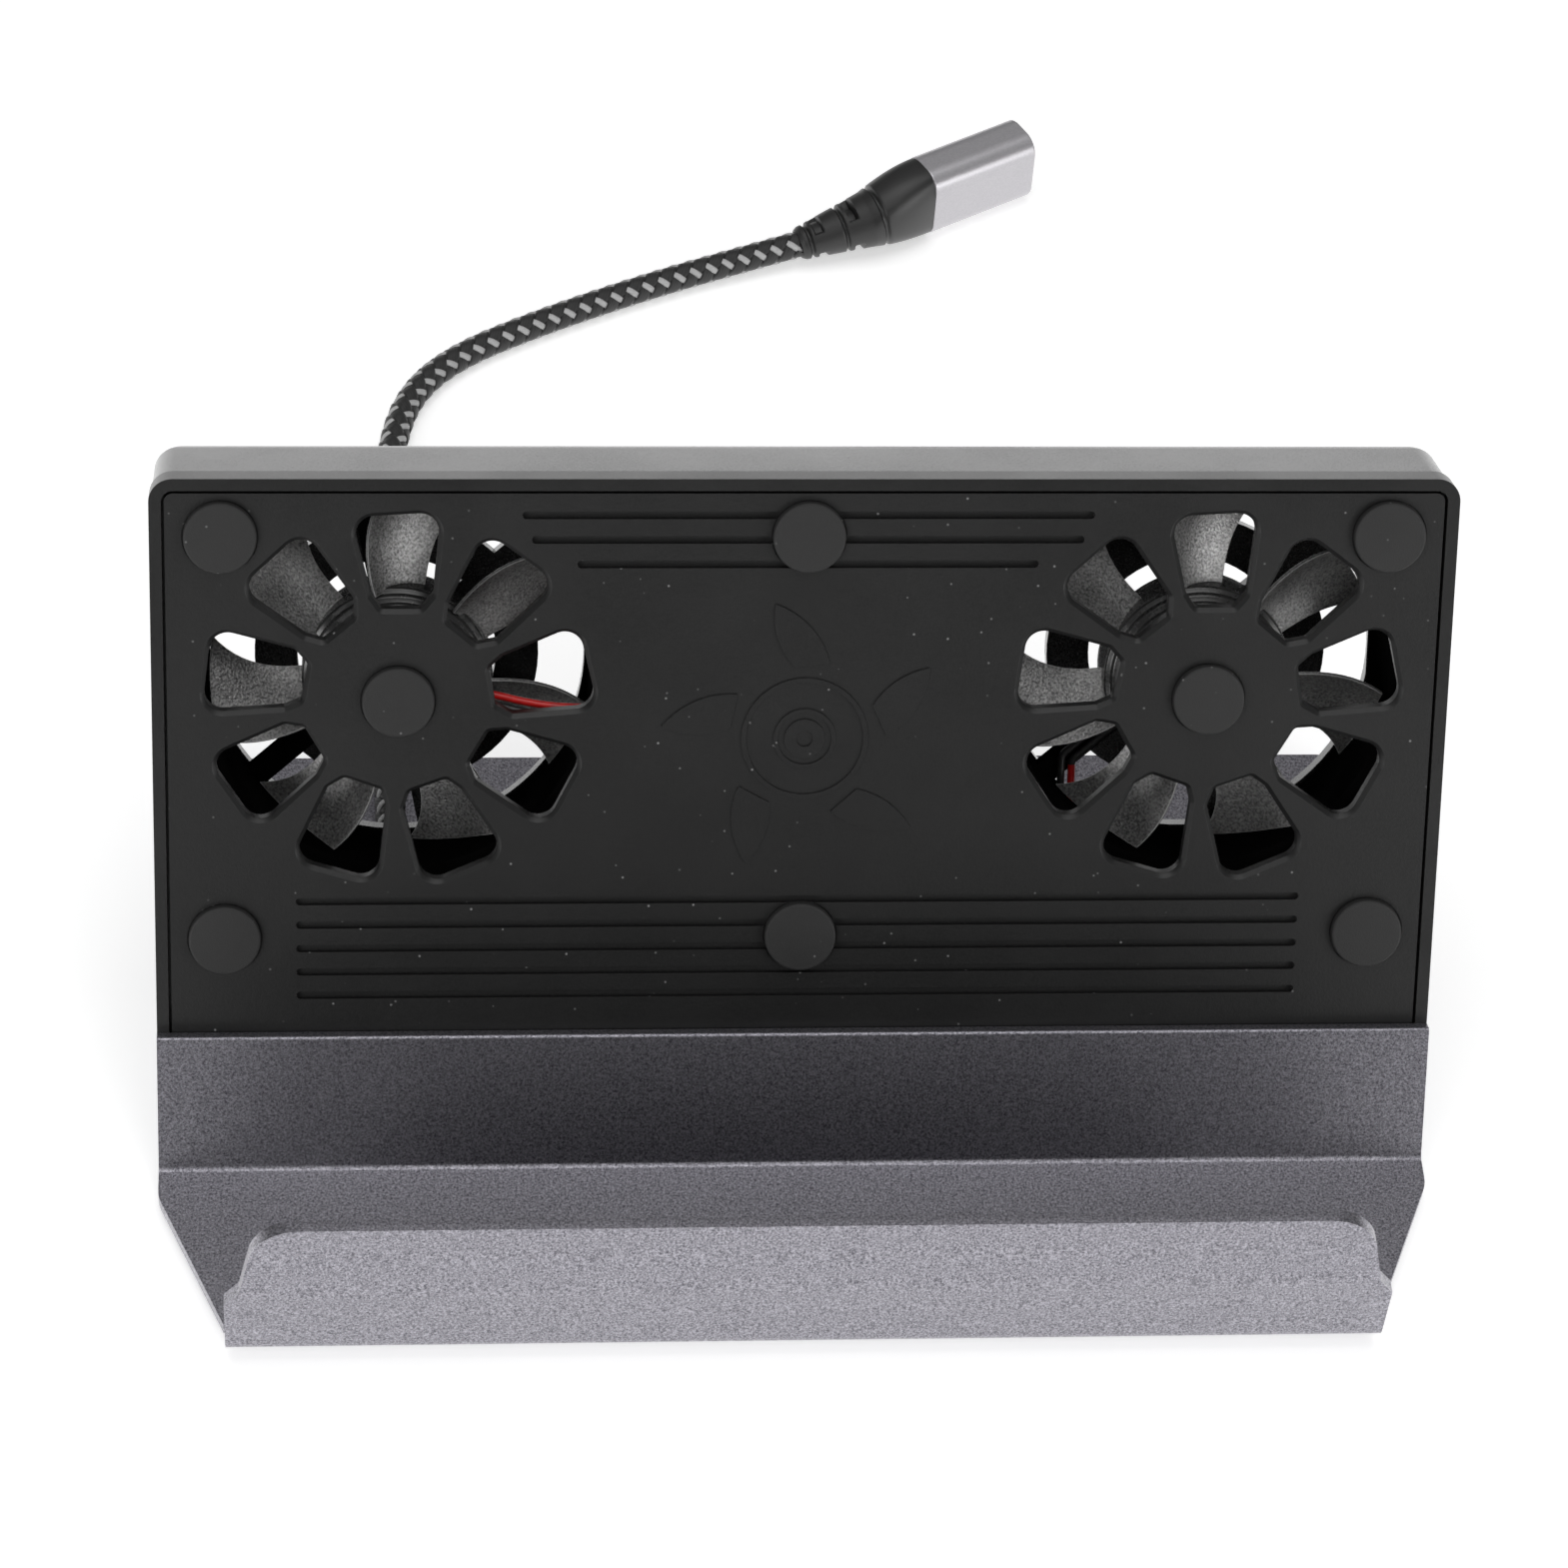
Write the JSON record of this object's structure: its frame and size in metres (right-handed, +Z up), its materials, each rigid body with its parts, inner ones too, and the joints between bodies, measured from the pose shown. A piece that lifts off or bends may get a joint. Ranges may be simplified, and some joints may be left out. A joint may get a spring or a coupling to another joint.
{
  "type": "handheld console docking station",
  "caption": "Leaning dock with two cooling fans behind a grilled panel, a bent metal tray for a handheld console, rear sockets and a braided cord with an angled plug.",
  "frame": {"origin": "centre of the stand's own bounding box, on the table, with the cord and its plug left out", "axes": "+X to the viewer's right along the tray, +Y to the back, +Z up; the tray and its lip are on the -Y side"},
  "size_m": [0.18, 0.2515, 0.0909],
  "materials": {
    "metal_sheet": "bead-blasted, space grey",
    "housing_plastic": "satin black",
    "panel_plastic": "fine matte black",
    "rubber": "matt",
    "fan_plastic": "spark-eroded black",
    "magnet": "bonded ferrite",
    "core_steel": "laminated",
    "copper": "enamelled copper wire",
    "bearing_bronze": "sintered",
    "shaft_steel": "ground",
    "circuit_board": "solder mask",
    "red_wire": "insulation",
    "black_wire": "insulation",
    "screw_steel": "zinc plated",
    "spacer_plastic": "nylon",
    "socket_steel": "plated sheet",
    "component_black": "moulded",
    "gland_plastic": "moulded",
    "cord_braid": "black braid with light grey flecks",
    "relief_rubber": "moulded",
    "boot_plastic": "satin dark grey",
    "plug_metal": "satin",
    "plug_tip_steel": "bright"
  },
  "bodies": {
    "stand": {"base_plate": "metal_sheet", "bezel_frame": "housing_plastic", "board_spacers": "spacer_plastic", "cord_gland": "gland_plastic", "ethernet_socket": "socket_steel", "fan_headers": "component_black", "front_panel": "panel_plastic", "front_tray": "metal_sheet", "hdmi_socket": "socket_steel", "hub_board": "circuit_board", "hub_chips": "component_black", "left_bearing": "bearing_bronze", "left_black_lead": "black_wire", "left_fan_board": "circuit_board", "left_fan_frame": "fan_plastic", "left_fan_screws": "screw_steel", "left_red_lead": "red_wire", "left_stator": "core_steel", "left_windings": "copper", "panel_screws": "screw_steel", "plate_screws": "screw_steel", "plug_boot": "boot_plastic", "plug_relief": "relief_rubber", "plug_shell": "plug_metal", "plug_tip": "plug_tip_steel", "power_socket": "socket_steel", "rear_shell": "housing_plastic", "right_bearing": "bearing_bronze", "right_black_lead": "black_wire", "right_fan_board": "circuit_board", "right_fan_frame": "fan_plastic", "right_fan_screws": "screw_steel", "right_red_lead": "red_wire", "right_stator": "core_steel", "right_windings": "copper", "rubber_foot_1": "rubber", "rubber_foot_2": "rubber", "rubber_foot_3": "rubber", "rubber_foot_4": "rubber", "rubber_pad_1": "rubber", "rubber_pad_2": "rubber", "rubber_pad_3": "rubber", "rubber_pad_4": "rubber", "rubber_pad_5": "rubber", "rubber_pad_6": "rubber", "rubber_pad_7": "rubber", "rubber_pad_8": "rubber", "tray_screws": "screw_steel", "usb_cord": "cord_braid", "usb_socket_1": "socket_steel", "usb_socket_2": "socket_steel", "usb_socket_3": "socket_steel"},
    "left_fan_rotor": {"left_magnet": "magnet", "left_rotor": "fan_plastic", "left_shaft": "shaft_steel"},
    "right_fan_rotor": {"right_magnet": "magnet", "right_rotor": "fan_plastic", "right_shaft": "shaft_steel"}
  },
  "joints": [
    {"name": "left_fan_spin", "type": "hinge", "parent": "stand", "child": "left_fan_rotor", "pos_m": [-0.05625, 0.01198, 0.06312], "axis": [0, -0.8746, 0.4848], "continuous": true},
    {"name": "right_fan_spin", "type": "hinge", "parent": "stand", "child": "right_fan_rotor", "pos_m": [0.05625, 0.01198, 0.06312], "axis": [0, -0.8746, 0.4848], "continuous": true}
  ]
}
